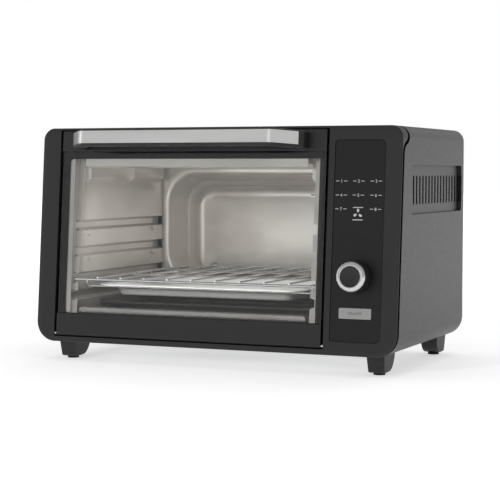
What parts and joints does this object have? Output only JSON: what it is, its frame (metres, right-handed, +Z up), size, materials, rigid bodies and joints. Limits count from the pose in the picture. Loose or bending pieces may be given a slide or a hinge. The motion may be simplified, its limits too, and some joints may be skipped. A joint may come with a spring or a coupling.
{
  "type": "air fryer toaster oven",
  "caption": "Countertop toaster oven with a drop-down glass door, wire rack, side control panel with knob and start key, and a convection fan.",
  "frame": {"origin": "on the table, under the centre of the bounding box", "axes": "+X to the viewer's right, +Y from the door to the rear, +Z up"},
  "size_m": [0.434, 0.3366, 0.266],
  "materials": {
    "cover_paint": "satin dark grey paint",
    "dark_plastic": "fine matte black",
    "panel_black": "smooth satin black",
    "display_black": "gloss black",
    "zinc_sheet": "plain galvanised",
    "cavity_steel": "rolled bright",
    "bright_wire": "bright plated",
    "pan_steel": "satin",
    "rod_sheath": "oxidised",
    "ceramic_white": "unglazed",
    "trim_silver": "fine brushed",
    "button_silver": "satin silver",
    "board_green": "board laminate",
    "part_black": "moulded",
    "fan_aluminium": "mill",
    "motor_steel": "laminated",
    "pad_rubber": "moulded",
    "clear_glass": "tempered clear"
  },
  "bodies": {
    "casing": {"outer_cover": "cover_paint", "base_plate": "zinc_sheet", "rear_cover": "zinc_sheet", "front_bezel": "dark_plastic", "door_face_frame": "dark_plastic", "control_panel": "panel_black", "display_window": "panel_black", "display_module": "display_black", "control_board": "board_green", "rotary_encoder": "part_black", "start_switch": "part_black", "cavity_left_wall": "cavity_steel", "cavity_right_wall": "cavity_steel", "cavity_top": "cavity_steel", "cavity_floor": "cavity_steel", "cavity_back": "cavity_steel", "upper_heating_rods": "rod_sheath", "lower_heating_rods": "rod_sheath", "rod_insulators": "ceramic_white", "crumb_tray": "cavity_steel", "fan_housing": "zinc_sheet", "fan_motor": "motor_steel", "motor_bushes": "motor_steel", "motor_spacers": "zinc_sheet", "heat_shield": "zinc_sheet", "power_board": "board_green", "terminal_block": "part_black", "cord_gland": "dark_plastic", "thermal_cutout": "part_black", "temperature_sensor": "bright_wire", "foot_front_left": "dark_plastic", "foot_front_right": "dark_plastic", "foot_rear_left": "dark_plastic", "foot_rear_right": "dark_plastic", "foot_pads": "pad_rubber", "foot_screws": "bright_wire", "rear_screws": "bright_wire"},
    "door": {"door_bottom_rail": "dark_plastic", "door_top_rail": "dark_plastic", "door_glass": "clear_glass", "hinge_pins": "bright_wire", "handle_body": "dark_plastic", "handle_trim": "trim_silver", "handle_screws": "bright_wire"},
    "rack": {"wire_rack": "bright_wire", "pan_hangers": "bright_wire", "baking_pan": "pan_steel"},
    "knob": {"knob_body": "dark_plastic", "knob_ring": "trim_silver", "encoder_shaft": "bright_wire"},
    "start_key": {"start_button": "button_silver"},
    "fan_rotor": {"impeller": "fan_aluminium", "cooling_fan": "part_black", "fan_shaft": "bright_wire"}
  },
  "joints": [
    {"name": "door_hinge", "type": "hinge", "parent": "casing", "child": "door", "pos_m": [0, -0.13832, 0.0315], "axis": [1, 0, 0], "range_deg": [0, 88]},
    {"name": "rack_slide", "type": "slide", "parent": "casing", "child": "rack", "axis": [0, -1, 0], "range_m": [0, 0.0605]},
    {"name": "knob_turn", "type": "hinge", "parent": "casing", "child": "knob", "pos_m": [0.1707, -0.1347, 0.10591], "axis": [0, -0.9965, 0.0833], "continuous": true},
    {"name": "start_press", "type": "slide", "parent": "casing", "child": "start_key", "axis": [0, 0.9965, -0.0833], "range_m": [0, 0.0015], "stiffness_N_per_m": 900, "springref_m": -0.0012},
    {"name": "fan_spin", "type": "hinge", "parent": "casing", "child": "fan_rotor", "pos_m": [0.15, -0.01172, 0.15], "axis": [1, 0, 0], "continuous": true}
  ],
  "couplings": [
    {"joint": "rack_slide", "follows": "door_hinge", "m_per_rad": 0.039065}
  ]
}
